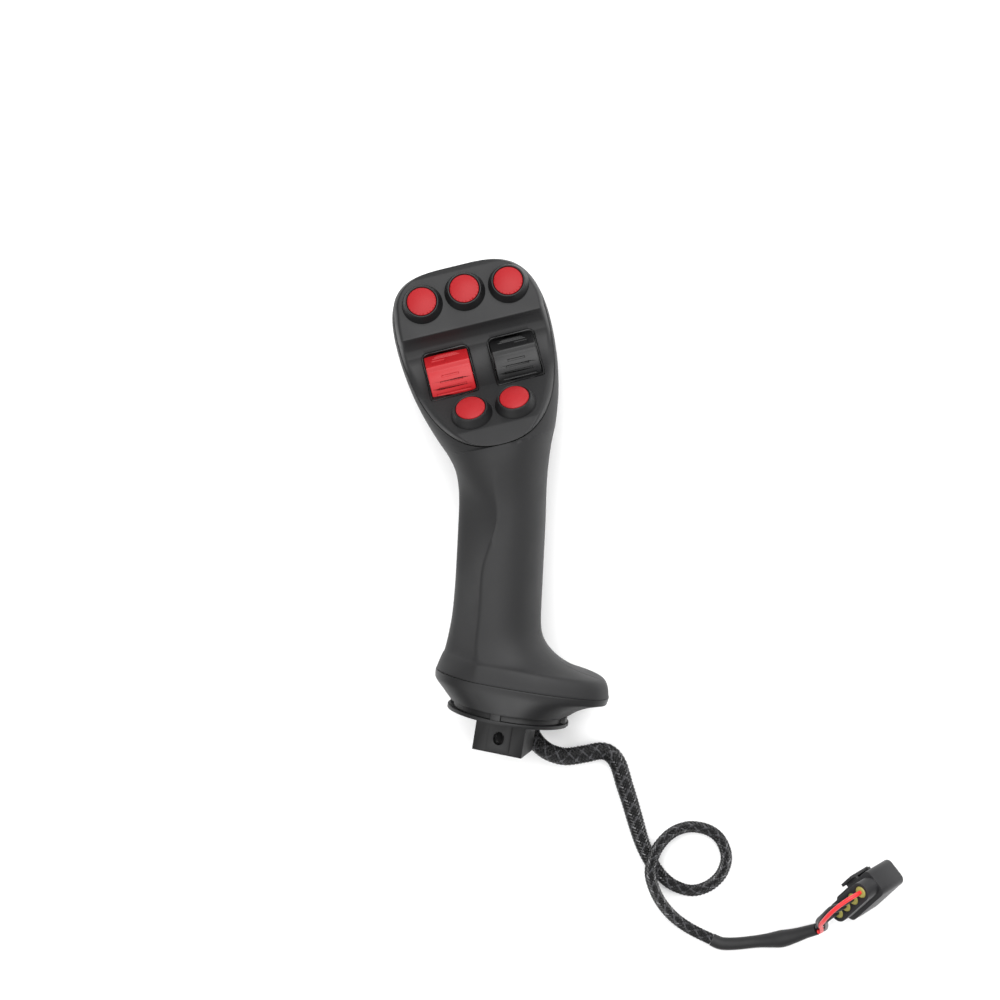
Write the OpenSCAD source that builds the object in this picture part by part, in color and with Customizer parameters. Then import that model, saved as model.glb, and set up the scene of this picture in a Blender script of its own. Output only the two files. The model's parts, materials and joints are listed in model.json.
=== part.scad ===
/* [Head] */
// Width of the head at its widest
head_w = 73.2; // [72:0.5:78]
// Height of the head above its own foot
head_h = 86.8; // [86:0.2:90]
// Sideways lean of the head on the shaft
cant = 22.5; // [18:0.5:26]
// Turn of the face toward the thumb
yaw = 14.9; // [10:0.5:18]
// Wall thickness of the housings and the face plate
wall = 2.4; // [1.8:0.1:3]
// Parting gap between neighbouring housings
parting = 0.2; // [0.1:0.05:0.4]

/* [Handle] */
// Width of the shaft
shaft_w = 41.5; // [38:0.5:44]
// Depth of the shaft in front of the lever's axis
shaft_front = 22; // [21:0.5:25]
// Depth of the shaft behind the lever's axis
shaft_back = 24; // [22:0.5:27]
// Reach of the palm ledge to the right
ledge_right = 45.3; // [42:0.5:50]
// Reach of the palm ledge to the left
ledge_left = 36.8; // [35:0.5:41]
// Reach of the palm ledge behind the lever's axis
ledge_back = 36; // [34:0.5:37]
// Height of the plane where the handle ends on its collar
seam_y = 16.6; // [15:0.2:18]

/* [Buttons] */
// Diameter of a button cap
cap_d = 13.4; // [12:0.1:14]
// Distance between neighbouring buttons
button_pitch = 20.5; // [20:0.1:22]
// Height of the guard ring above the panel
guard_h = 4.6; // [3:0.1:6]
// Travel of a button
button_travel = 1.5; // [1:0.1:2]
// Running clearance round a cap
cap_gap = 0.25; // [0.15:0.05:0.4]

/* [Rollers] */
// Diameter of a thumb roller
roller_d = 26; // [24:0.5:27]
// Width of a thumb roller
roller_w = 20.4; // [18:0.2:21]
// Height of the grip bar above the drum
bar_h = 1.5; // [1:0.1:2]
// Clearance round a roller
roller_gap = 0.35; // [0.2:0.05:0.6]
// Diameter of a roller's axle
axle_d = 3; // [2.5:0.1:4]

/* [Base] */
// Diameter of the ring flange
flange_d = 56.8; // [54:0.2:58]
// Diameter of the core of the boot groove
groove_d = 51.2; // [48:0.2:53]
// Width of the square mounting block
block_w = 23.5; // [21:0.5:25]
// Height of the mounting block below the flange
block_h = 16.5; // [14:0.5:20]
// Diameter of the lever's bore
lever_d = 12; // [10:0.5:14]
// Depth of the lever's bore
lever_depth = 30.5; // [26:0.5:31]
// Diameter of the cord's hole through the flange
exit_d = 9.2; // [8.8:0.1:10]

/* [Connector] */
// Width of the connector along its row of wires
plug_w = 28; // [27:0.5:32]
// Thickness of the connector
plug_t = 13; // [12:0.5:15]
// Length of the connector
plug_l = 24; // [20:0.5:26]
// Pitch of the wires
wire_pitch = 6.4; // [5.8:0.1:6.6]
// Diameter of a wire with its insulation
wire_d = 2; // [1.6:0.1:2]

/* [Hidden] */
$fn = 48;

// Height of the lever's axis above the surface that the handle lies on
lift = 36;
// The head's foot, and the lines that bound the lofts
head_x = -21.5;
head_y = 121.4;
head_z = 1;
chin_h = 4.6;
wide_h = 55;
foot_x = -8;
neck_y = 95;
ledge_top = 25;
flare_top = 43;
ledge_front = 26;
neck_in = 1;
seam_w = head_w - 1.8;
strip_n = 7;
back_n = 14;
neck_n = 4;
front_exp = 2;
back_exp = 2.3;
head_front = 25.5;
top_shift = -0.6;

function lerp(a, b, t) = a + (b - a) * t;
function ease(t) = t * t * (3 - 2 * t);
function turn(v, c, a) = let (x = v[0] * cos(c) - v[1] * sin(c), y = v[0] * sin(c) + v[1] * cos(c))
    [x * cos(a) + v[2] * sin(a), y, -x * sin(a) + v[2] * cos(a)];
function head_point(u, h, d) = [head_x, head_y, head_z] + turn([u, h, d], cant, yaw);
function axis_x(y) = lerp(foot_x, head_x, y / head_y);
function quad(a, b, c, d) = [[a, c, b], [a, d, c]];

module in_head() translate([head_x, head_y, head_z]) rotate([0, yaw, 0]) rotate([0, 0, cant]) children();

// Height at a share of the way from the widest line to the top
function upper(k) = lerp(wide_h, head_h, k);

// Profile of the face, as height and depth down its middle
crest = [30.9, 1.8];
crease = [50.2, -7.6];
ridge = [upper(0.14), -3.3];
valley_tilt = atan2(crest[1] - crease[1], crease[0] - crest[0]);
valley_mid = (crest + crease) / 2;
valley_half = norm(crease - crest) / 2;
valley_sag = 3;
chin_edge = [13.2, 20.5];
brow = [upper(0.93), -12.9];
face_line = concat([[chin_h, 25.6], chin_edge, crest],
    [for (s = [-2, 0, 2]) let (k = s / 3, sag = valley_sag * (1 - k * k))
        valley_mid + [k * valley_half * cos(valley_tilt) - sag * sin(valley_tilt),
                      -k * valley_half * sin(valley_tilt) - sag * cos(valley_tilt)]],
    [crease, ridge, brow, [head_h, -14.9]]);
function face_d(h) = lookup(h, face_line);
function face_slope(h) = (face_d(h + 1) - face_d(h - 1)) / 2;

// Heights at which the head's sections are set; the back rounds off above round_h
round_h = upper(0.35);
head_hs = concat([chin_h, 4.8, 5.3, 6.1, 7.6, 10, 13.2, 18.7, 24.5, crest[0]],
    [for (i = [3 : 5]) face_line[i][0]],
    [crease[0], wide_h, ridge[0], round_h, upper(0.54), upper(0.7), upper(0.8)],
    [for (q = [2.3, 1.2, 0.6, 0.2, 0.05]) head_h - q]);

// Outlines of the head: its widest line and the edge of the face plate
function corner(h, side) = let (k = (h - wide_h) / (head_h - wide_h))
    side > 0 ? pow(max(0, 1 - pow(k, 2.3)), 1 / 3.6) : pow(max(0, 1 - pow(k, 3)), 1 / 4);
function body_half(h, side) = h < wide_h ? head_w / 2 - 13 * pow((wide_h - h) / wide_h, 2)
    : head_w / 2 * corner(h, side);
function seam_half(h, side) = h < wide_h
    ? max(3, seam_w / 2 * pow(1 - pow((wide_h - h) / (wide_h - chin_h), 2), 1 / 2.6))
    : seam_w / head_w * body_half(h, side);
function middle(h) = lookup(h, [[20, 0], [60, top_shift]]);
function widest_d(h) = lookup(h, [[chin_h, -1], [20, -4.5], [31, -10], [45, -17], [wide_h, -19.5], [upper(0.6), -21],
                                  [head_h, -21.6]]);
function head_back(h) = lookup(h, [[chin_h, 26], [20, 30], [45, 23], [round_h, 19]])
    * sqrt(max(0, 1 - pow(max(0, h - round_h) / (head_hs[len(head_hs) - 1] - round_h), 2)));

// Sections below the head: the rolled edge of the ledge, its sweep into the shaft, and the shaft
low_rows = concat([for (b = [90 : -30 : 0]) [lerp(ledge_top, seam_y, 1 - cos(b)), 1, sin(b)]],
                  [for (a = [72 : -18 : 0]) [lerp(ledge_top, flare_top, 1 - sin(a)), 1 - cos(a), 0]],
                  [for (y = [flare_top + 13 : 13 : neck_y]) [y, 0, 0]]);
low_n = len(low_rows);
chin_row = low_n + neck_n;
rows_n = chin_row + len(head_hs);
roll = 5.3;

// Thumb facet on the left of the front: its edge along the shaft, its strength and its hollow
function facet_edge(y) = lookup(y, [[26, -2.6], [33, -3.9], [50, -2.4], [69, -3.1], [76, -1.1], [85, 3.2],
                                    [94, 4.1], [105, 1.8]]);
function facet_part(y) = lookup(y, [[seam_y, 0.2], [28, 1], [88, 1], [112, 0]]);
function facet_dip(y) = lookup(y, [[60, 0.2], [76, 0.7], [88, 1.6], [97, 1.2], [108, 0]]);

// One section: [right, left, front, back, centre, cant, yaw, right and left edge of the plate's opening,
// height for the facet]
function low_row(y, f, e, t) = let (c = axis_x(y), w = shaft_w / 2,
        g = pow(max(0, (flare_top + 3 - y) / (flare_top + 3 - seam_y)), 1.3), k = ease(max(0, min(1, (y - 30) / 30))))
    [lerp(w, ledge_right - c - roll, f) + roll * e - t,
     lerp(w, ledge_left + c - 1, g) + e - neck_in * k - t,
     lerp(shaft_front, ledge_front - 1, f) + e - t,
     lerp(shaft_back, ledge_back - 3, f) + 3 * e - t,
     [c, y, 0], 0, 0, facet_edge(y) + 6, -facet_edge(y), y];
function neck_row(q, t) = let (s = ease(q), y = lerp(neck_y, neck_y + 27, q), e = lerp(facet_edge(y), -3, s))
    [lerp(shaft_w / 2, body_half(chin_h, 1), pow(q, 2.5)) - t,
     lerp(shaft_w / 2 - neck_in, body_half(chin_h, -1), pow(q, 3)) - t,
     lerp(shaft_front, head_front, s) - t, lerp(shaft_back, head_back(chin_h), s) - t,
     lerp([axis_x(neck_y), neck_y, 0], head_point(0, chin_h, widest_d(chin_h)), q), cant * s, yaw * s,
     lerp(facet_edge(y) + 6, 3, s), -e, y];
function inner_h(h, t) = h < wide_h ? h : lerp(wide_h, h, (head_h - t - wide_h) / (head_h - wide_h));
function thin(w, t) = w - t * min(1, w / 20);
function head_row(h, t) =
    [thin(body_half(h, 1), t), thin(body_half(h, -1), t), head_front - t, max(0, head_back(h) * (1 - t / 22)),
     head_point(middle(h), inner_h(h, t), widest_d(h)), cant, yaw, seam_half(h, 1), seam_half(h, -1), 200];
function row(i, t) = i < low_n ? low_row(low_rows[i][0], low_rows[i][1], low_rows[i][2], t)
    : i < chin_row ? neck_row((i - low_n + 1) / (neck_n + 1), t)
    : head_row(head_hs[i - chin_row], t);

// A point on a section's outline, at an angle from its right-hand end
function pw(v, n) = sign(v) * pow(abs(v), 2 / n);
function spot(r, phi, n, side) = r[4] + turn([(cos(phi) > 0 ? r[0] : r[1]) * pw(cos(phi), n), 0,
    (side > 0 ? r[2] : r[3]) * pw(sin(phi), n) + side * parting / 2], r[5], r[6]);
function front_angle(r, j) = j <= strip_n ? acos(min(1, r[7] / r[0])) * j / strip_n
    : 180 - acos(min(1, r[8] / r[1])) * (2 * strip_n + 1 - j) / strip_n;

// Left of its edge the front is a flat facet, a little hollow, that runs out before the parting line
facet_end = 162;
function front_spot(r, a, edge) = let (k = (a - edge) / (facet_end - edge), p = spot(r, a, front_exp, 1))
    k <= 0 || k >= 1 || facet_part(r[9]) == 0 ? p
    : let (p0 = spot(r, edge, front_exp, 1), p1 = spot(r, facet_end, front_exp, 1), v = p1 - p0,
           n = turn([-v[2], 0, v[0]], 0, 0) / norm(v), s = facet_dip(r[9]) * sin(180 * k))
      lerp(p, lerp(p0, p1, k) + s * n, facet_part(r[9]));

// The front housing is a grid of cells, two skins thick, left open where the face plate sits
front_c = 2 * strip_n + 2;
front_pts = [for (t = [0, wall]) for (i = [0 : rows_n - 1]) let (r = row(i, t), edge = row(i, 0))
    for (j = [0 : front_c - 1]) front_spot(r, front_angle(edge, j), front_angle(edge, strip_n + 1))];
function fid(s, i, j) = (s * rows_n + i) * front_c + j;
function filled(i, j) = i >= 0 && i < rows_n - 1 && j >= 0 && j < front_c - 1 && (j != strip_n || i < chin_row);
function cell(i, j) = let (here = filled(i, j), right = filled(i, j + 1), above = filled(i + 1, j)) concat(
    here ? concat(quad(fid(0, i, j), fid(0, i + 1, j), fid(0, i + 1, j + 1), fid(0, i, j + 1)),
                  quad(fid(1, i, j), fid(1, i, j + 1), fid(1, i + 1, j + 1), fid(1, i + 1, j))) : [],
    here && !right ? quad(fid(0, i, j + 1), fid(0, i + 1, j + 1), fid(1, i + 1, j + 1), fid(1, i, j + 1)) : [],
    !here && right ? quad(fid(0, i, j + 1), fid(1, i, j + 1), fid(1, i + 1, j + 1), fid(0, i + 1, j + 1)) : [],
    here && !above && i < rows_n - 2
        ? quad(fid(0, i + 1, j), fid(1, i + 1, j), fid(1, i + 1, j + 1), fid(0, i + 1, j + 1)) : [],
    !here && above ? quad(fid(0, i + 1, j), fid(0, i + 1, j + 1), fid(1, i + 1, j + 1), fid(1, i + 1, j)) : []);
top = rows_n - 1;
crown = concat([for (j = [0 : strip_n - 1]) let (b = front_c - 1 - j) each concat(
        quad(fid(0, top, j), fid(0, top, b), fid(0, top, b - 1), fid(0, top, j + 1)),
        quad(fid(1, top, j), fid(1, top, j + 1), fid(1, top, b - 1), fid(1, top, b)))],
    quad(fid(0, top, 0), fid(1, top, 0), fid(1, top, front_c - 1), fid(0, top, front_c - 1)),
    quad(fid(0, top, strip_n), fid(0, top, strip_n + 1), fid(1, top, strip_n + 1), fid(1, top, strip_n)));
front_faces = concat([for (i = [-1 : rows_n - 1]) for (j = [-1 : front_c - 1]) each cell(i, j)], crown);

// The rear housing is the same loft's other half
back_c = back_n + 1;
back_pts = [for (t = [0, wall]) for (i = [0 : rows_n - 1]) let (r = row(i, t))
    for (j = [0 : back_n]) spot(r, -180 * j / back_n, back_exp, -1)];
function bid(s, i, j) = (s * rows_n + i) * back_c + j;
back_faces = concat([for (i = [0 : rows_n - 2]) each concat(
        [for (j = [0 : back_n - 1]) each concat(
            quad(bid(0, i, j), bid(0, i, j + 1), bid(0, i + 1, j + 1), bid(0, i + 1, j)),
            quad(bid(1, i, j), bid(1, i + 1, j), bid(1, i + 1, j + 1), bid(1, i, j + 1)))],
        quad(bid(0, i, 0), bid(0, i + 1, 0), bid(1, i + 1, 0), bid(1, i, 0)),
        quad(bid(0, i, back_n), bid(1, i, back_n), bid(1, i + 1, back_n), bid(0, i + 1, back_n)))],
    [for (j = [0 : back_n - 1]) each concat(
        quad(bid(0, 0, j), bid(1, 0, j), bid(1, 0, j + 1), bid(0, 0, j + 1)),
        quad(bid(0, top, j), bid(0, top, j + 1), bid(1, top, j + 1), bid(1, top, j)))]);

// The handle is placed by its own outline, without its cord
shell_pts = concat(front_pts, back_pts);
min_x = min([for (p = shell_pts) p[0]]);
max_x = max([for (p = shell_pts) p[0]]);
max_y = max([for (p = shell_pts) p[1]]);
module place() translate([-(min_x + max_x) / 2, (block_h - max_y) / 2, lift]) children();

// Three screws from behind hold the housings: two along the shaft and one into the face plate
screw_d = 2.6;
screw_head_d = 5.2;
screw_head_h = 2;
boss_d = 6;
socket_d = 9.6;
shaft_screws = [38, 68];
plate_screw_h = 52;
plate_seat = widest_d(plate_screw_h);
screw_seat = -14;
plate_screw_seat = plate_seat - 12;
module at_shaft_screws() for (y = shaft_screws) translate([axis_x(y), y, 0]) children();
module at_plate_screw() in_head() translate([0, plate_screw_h, 0]) children();
module pillar(d, z0, z1) translate([0, 0, z0]) cylinder(d = d, h = z1 - z0);

module front_shell() color("#36373a") place() difference() {
    union() {
        polyhedron(front_pts, front_faces);
        at_shaft_screws() pillar(boss_d, parting / 2, shaft_front - wall + 0.6);
    }
    at_shaft_screws() pillar(screw_d, -1, 12);
}
module rear_shell() color("#323336") place() difference() {
    union() {
        polyhedron(back_pts, back_faces);
        at_shaft_screws() pillar(socket_d, -shaft_back + wall - 0.6, -parting / 2);
        at_plate_screw() pillar(socket_d, plate_seat - head_back(plate_screw_h) + wall - 0.6, plate_seat - parting / 2);
    }
    at_shaft_screws() {
        pillar(screw_d + 0.4, -shaft_back, 1);
        pillar(screw_head_d + 0.6, -ledge_back - 1, screw_seat);
    }
    at_plate_screw() {
        pillar(screw_d + 0.4, plate_seat - head_back(plate_screw_h), plate_seat + 1);
        pillar(screw_head_d + 0.6, plate_seat - head_back(plate_screw_h) - 4, plate_screw_seat);
    }
}
module pan_screw(seat, tip) difference() {
    union() {
        pillar(screw_d - 0.04, seat, tip);
        pillar(screw_head_d, seat - screw_head_h, seat);
    }
    for (a = [0, 90]) rotate([0, 0, a]) translate([-1.6, -0.35, seat - screw_head_h - 1]) cube([3.2, 0.7, 2.2]);
}
module shell_screws() color("#9a9da1") place() {
    at_shaft_screws() pan_screw(screw_seat, 9);
    at_plate_screw() pan_screw(plate_screw_seat, plate_seat + 6);
}

// Face plate: across each section it runs seam, edge of the plateau, edge of the plateau, seam
function chamfer(h) = lookup(h, [[chin_h, 1.2], [10, 3.6], [13.2, 4.4], [22, 4.5], [crest[0], 3.6], [36, 4.4],
                                 [41, 4.4], [48, 2.4], [57, 2.8], [upper(0.57), 2.7], [upper(0.79), 2.4],
                                 [head_h, 2]]);
function shrink(p) = [p[0] * (1 - 2 * parting / seam_w),
    wide_h + (p[1] - wide_h) * (1 - parting / (p[1] < wide_h ? wide_h - chin_h : head_h - wide_h)), p[2]];
function plate_edge(h, t, side) = let (r = head_row(h, t), s = seam_half(h, side), phi = acos(s / body_half(h, side)))
    [middle(h) + side * (side > 0 ? r[0] : r[1]) * cos(phi), inner_h(h, t),
     widest_d(h) + r[2] * sin(phi) + parting / 2];
function plate_flat(h, t, side) = let (z = inner_h(h, t), half = seam_half(h, side) - chamfer(h))
    [middle(h) + side * max(half * 0.5, half - 0.7 * t), z, face_d(z) - t * sqrt(1 + pow(face_slope(z), 2))];
function plate_row(h, t) = [plate_edge(h, t, -1), plate_flat(h, t, -1), plate_flat(h, t, 1), plate_edge(h, t, 1)];
plate_n = len(head_hs);
plate_pts = [for (t = [0, wall]) for (h = head_hs) for (p = plate_row(h, t)) shrink(p)];
function pid(s, i, k) = (s * plate_n + i) * 4 + k;
plate_faces = concat([for (i = [0 : plate_n - 2]) each concat(
        [for (k = [0 : 2]) each concat(
            quad(pid(0, i, k), pid(0, i, k + 1), pid(0, i + 1, k + 1), pid(0, i + 1, k)),
            quad(pid(1, i, k), pid(1, i + 1, k), pid(1, i + 1, k + 1), pid(1, i, k + 1)))],
        quad(pid(0, i, 0), pid(0, i + 1, 0), pid(1, i + 1, 0), pid(1, i, 0)),
        quad(pid(0, i, 3), pid(1, i, 3), pid(1, i + 1, 3), pid(0, i + 1, 3)))],
    [for (k = [0 : 2]) each concat(
        quad(pid(0, 0, k), pid(1, 0, k), pid(1, 0, k + 1), pid(0, 0, k + 1)),
        quad(pid(0, plate_n - 1, k), pid(0, plate_n - 1, k + 1),
             pid(1, plate_n - 1, k + 1), pid(1, plate_n - 1, k)))]);

// Height that a point of the face comes to once the plate is shrunk by its parting gap
function plate_h(h) = shrink([0, h, 0])[1];
function panel_tilt(a, b) = atan2(a[1] - b[1], plate_h(b[0]) - plate_h(a[0]));
function panel_spot(a, b, h) = [h, a[1] - (h - plate_h(a[0])) * tan(panel_tilt(a, b))];
lower_tilt = panel_tilt(chin_edge, crest);
upper_tilt = panel_tilt(ridge, brow);
lower_spot = panel_spot(chin_edge, crest, lerp(chin_edge[0], crest[0], 0.41));
upper_spot = panel_spot(ridge, brow, upper(0.59));

module face_plate() color("#2b2c2e") place() in_head() difference() {
    union() {
        polyhedron(plate_pts, plate_faces);
        translate([0, plate_screw_h, 0])
            pillar(boss_d, plate_seat + parting / 2, face_d(plate_screw_h) - wall + 0.6);
    }
    translate([0, plate_screw_h, 0]) pillar(screw_d, plate_seat - 1, plate_seat + 7);
    for (i = [0 : 4]) at_button(i) {
        translate([0, 0, -12]) cylinder(d = barrel_d + 0.2, h = 16);
        translate([0, 0, -12]) cylinder(d = nut_w + 0.4, h = 12 - wall);
    }
    for (s = [-1, 1]) at_roller(s) rotate([0, 90, 0])
        cylinder(d = roller_d + 2 * roller_gap, h = roller_w + 2 * roller_side, center = true, $fn = 96);
}

// Push buttons: two on the lower panel, three on the upper one, the middle one set higher
middle_rise = 1.3;
buttons = [[-button_pitch / 2, lower_spot, lower_tilt, 0], [button_pitch / 2, lower_spot, lower_tilt, 0],
           [-button_pitch, upper_spot, upper_tilt, 0], [0, upper_spot, upper_tilt, middle_rise],
           [button_pitch, upper_spot, upper_tilt, 0]];
barrel_d = 16;
barrel_h = 8;
well_d = cap_d + 2 * cap_gap;
web_top = -3;
web_t = 2;
stem_d = 4;
stem_gap = 0.1;
module at_button(i) let (b = buttons[i]) translate([b[0], b[1][0], b[1][1]]) rotate([-b[2], 0, 0])
    translate([0, b[3], 0]) children();
module on_head(i) place() in_head() at_button(i) children();

module guard(i) color("#1f2022") on_head(i) rotate_extrude($fn = 64) polygon([
    [stem_d / 2 + stem_gap, web_top], [well_d / 2, web_top], [well_d / 2, guard_h - 0.3],
    [well_d / 2 + 0.3, guard_h], [well_d / 2 + 0.75, guard_h], [barrel_d / 2 + 1.4, 0.7], [barrel_d / 2 + 1.6, 0],
    [barrel_d / 2, 0], [barrel_d / 2, -barrel_h], [well_d / 2, -barrel_h], [well_d / 2, web_top - web_t],
    [stem_d / 2 + stem_gap, web_top - web_t]]);

// A cap is a shallow dome with a skirt and a stem that works the switch element
cap_top = guard_h + 0.65;
cap_foot = web_top + button_travel + 0.3;
module cap(i) color("#d22f3a") on_head(i) rotate_extrude($fn = 64) polygon(concat(
    [[0, -9], [stem_d / 2, -9], [stem_d / 2, cap_top - 2.4], [cap_d / 2 - 1.3, cap_top - 2.4],
     [cap_d / 2 - 1.3, cap_foot], [cap_d / 2, cap_foot], [cap_d / 2, cap_top - 0.9], [cap_d / 2 - 0.3, cap_top - 0.55]],
    [for (k = [3 : -1 : 0]) [k * (cap_d / 2 - 0.3) / 4, cap_top - 0.55 * k * k / 16]]));

switch_d = well_d - 0.1;
switch_top = web_top - web_t - 0.05;
module switch_element(i) color("#4a4c50") on_head(i) difference() {
    union() {
        translate([0, 0, -14.5]) cylinder(d = switch_d, h = 14.5 + switch_top);
        for (s = [-1, 1]) translate([s * 2.5 - 0.4, -1.4, -18]) cube([0.8, 2.8, 3.6]);
    }
    translate([0, 0, -11.5]) cylinder(d = stem_d + 4 * stem_gap, h = 12);
}

nut_w = 17.4;
nut_h = 2;
module button_nuts() color("#8f9296") for (i = [0 : 4]) on_head(i) translate([0, 0, -wall - nut_h - 0.1]) difference() {
    cylinder(d = nut_w, h = nut_h);
    translate([0, 0, -1]) cylinder(d = barrel_d + 0.1, h = 5);
}

// Thumb rollers: drums in the valley, on axles square to the head
roller_x = 15.6;
roller_side = 0.3;
roller_drop = 8.5;
roller_turn = 28;
roller_spot = valley_mid - roller_drop * [sin(valley_tilt), cos(valley_tilt)];
frame_t = 1.6;
axle_l = roller_w + 2 * roller_side + 2 * frame_t;
module at_roller(s) translate([s * roller_x, roller_spot[0], roller_spot[1]]) rotate([-valley_tilt, 0, 0]) children();
module drum(d, w) rotate([0, 90, 0]) cylinder(d = d, h = w, center = true, $fn = 96);

module roller(s) place() in_head() at_roller(s) difference() {
    union() {
        drum(roller_d, roller_w);
        intersection() {
            drum(roller_d + 2 * bar_h, roller_w);
            translate([-roller_w / 2, -2.3, 0]) cube([roller_w, 4.6, roller_d]);
        }
    }
    drum(axle_d + 0.2, roller_w + 2);
    translate([-roller_w, -roller_d, -roller_d]) cube([2 * roller_w, 2 * roller_d, roller_d - drum_cut]);
    for (side = [-1, 1]) for (k = [0 : 3]) rotate([side * (18 + 5.5 * k), 0, 0])
        translate([-4 - 1.2 * k, -0.4, roller_d / 2 - 0.8]) cube([8 + 2.4 * k, 0.8, 2]);
    translate([s * 7.4 - 1.5, -0.9, roller_d / 2 + bar_h - 0.9]) cube([3, 1.8, 2]);
}

// The frame carries the axle in two side plates that reach up under the face plate
frame_top = roller_drop - valley_sag - wall - 0.35;
drum_cut = 6;
frame_foot = -roller_d / 2 * sin(asin(2 * drum_cut / roller_d) + roller_turn) - 0.6;
module roller_frame(s) color("#55585c") place() in_head() at_roller(s) difference() {
    union() {
        for (side = [-1, 1]) translate([side * (roller_w / 2 + roller_side + frame_t / 2), 0, 0]) rotate([0, 90, 0])
            translate([0, 0, -frame_t / 2]) linear_extrude(frame_t)
                polygon([[-frame_top, -5], [-frame_top, 5], [-frame_foot + 1.6, 6.5], [-frame_foot + 1.6, -6.5]]);
        translate([-axle_l / 2, -6.5, frame_foot - 1.6]) cube([axle_l, 13, 1.6]);
    }
    drum(axle_d + 0.04, axle_l + 2);
}
module axle(s) color("#c3c6ca") place() in_head() at_roller(s) drum(axle_d, axle_l);

// Collar: tapers from the ledge's outline to the ring of the boot groove
collar_top = seam_y - parting;
collar_foot = 4.4;
collar_floor = 2;
spigot_d = 41.8;
collar_n = 48;
collar_line = [[0, 1], [0.03, 0.74], [0.34, 0.62], [0.66, 0.42], [0.855, 0.22], [1, 0]];
function collar_spot(phi, s, y, t) = let (r = row(0, t), e = phi > 0 && phi < 180 ? front_exp : back_exp,
        k = pow(s, 1 + 0.6 * (1 - cos(phi))), ring = flange_d / 2 - 0.4 - t)
    [lerp(r[4][0] + (cos(phi) > 0 ? r[0] : r[1]) * pw(cos(phi), e), ring * cos(phi), k), y,
     lerp((sin(phi) > 0 ? r[2] : r[3]) * pw(sin(phi), e), ring * sin(phi), k)];
function collar_loop(phi) = let (n = len(collar_line), hole = spigot_d / 2 + 0.15) concat(
    [for (q = collar_line) collar_spot(phi, q[0], lerp(collar_foot, collar_top, q[1]), 0)],
    [[hole * cos(phi), collar_foot, hole * sin(phi)],
     [hole * cos(phi), collar_foot + collar_floor, hole * sin(phi)]],
    [for (k = [n - 1 : -1 : 0]) let (q = collar_line[k])
        collar_spot(phi, q[0], lerp(collar_foot + collar_floor, collar_top, q[1]), wall)]);
collar_m = 2 * len(collar_line) + 2;
collar_pts = [for (a = [0 : collar_n - 1]) each collar_loop(360 * a / collar_n)];
collar_faces = [for (a = [0 : collar_n - 1]) for (k = [0 : collar_m - 1])
    let (b = (a + 1) % collar_n, m = (k + 1) % collar_m)
    each quad(a * collar_m + k, b * collar_m + k, b * collar_m + m, a * collar_m + m)];
screw_r = 23.2;
module at_screws() for (a = [45 : 90 : 315]) translate([screw_r * cos(a), 0, screw_r * sin(a)])
    rotate([-90, 0, 0]) children();
module collar() color("#2a2b2d") place() difference() {
    polyhedron(collar_pts, collar_faces);
    at_screws() cylinder(d = 2.8, h = 12, $fn = 24);
}

// Hub: flange and boot groove, the square block with the lever's bore, and the cord's hole
groove_h = 1.6;
exit_x = 8;
exit_z = -17.5;
slot_w = 5;
slot_l = 6.2;
slot_y = -9.2;
module post(d, y0, y1) translate([0, y0, 0]) rotate([-90, 0, 0]) cylinder(d = d, h = y1 - y0, $fn = 96);
module slot(w, l, z0, z1) translate([0, slot_y, z0]) linear_extrude(z1 - z0) {
    translate([-w / 2, -(l - w) / 2]) square([w, l - w]);
    for (s = [-1, 1]) translate([0, s * (l - w) / 2]) circle(d = w);
}
module hub() color("#26272a") place() difference() {
    union() {
        post(flange_d, 0, groove_h);
        post(groove_d, groove_h, collar_foot);
        post(spigot_d, collar_foot, 9);
        post(lever_d + 10, 9, lever_depth - block_h + 4);
        translate([-block_w / 2, -block_h, -block_w / 2]) cube([block_w, block_h, block_w]);
        for (a = [0 : 90 : 270]) rotate([0, a, 0]) translate([-2.25, groove_h, 0])
            cube([4.5, collar_foot - groove_h, flange_d / 2 - 0.8]);
        translate([-5.5, -block_h + 1.2, 0]) cube([11, block_h - 1.2, block_w / 2 + 0.6]);
    }
    post(lever_d, -block_h - 1, lever_depth - block_h);
    slot(slot_w, slot_l, -block_w, block_w);
    translate([exit_x, -1, exit_z]) rotate([-90, 0, 0]) cylinder(d = exit_d, h = 12);
    at_screws() cylinder(d = 2.4, h = 9.5, $fn = 24);
    translate([flange_d / 2 - 1.4, -1, -1]) cube([3, 2.7, 2]);
}
module base_screws() color("#b9bcc0") place() at_screws() {
    translate([0, 0, 2]) cylinder(d = 2.4, h = collar_foot + collar_floor - 2, $fn = 24);
    translate([0, 0, collar_foot + collar_floor]) cylinder(d = 4.6, h = 1.8, $fn = 24);
}

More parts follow.
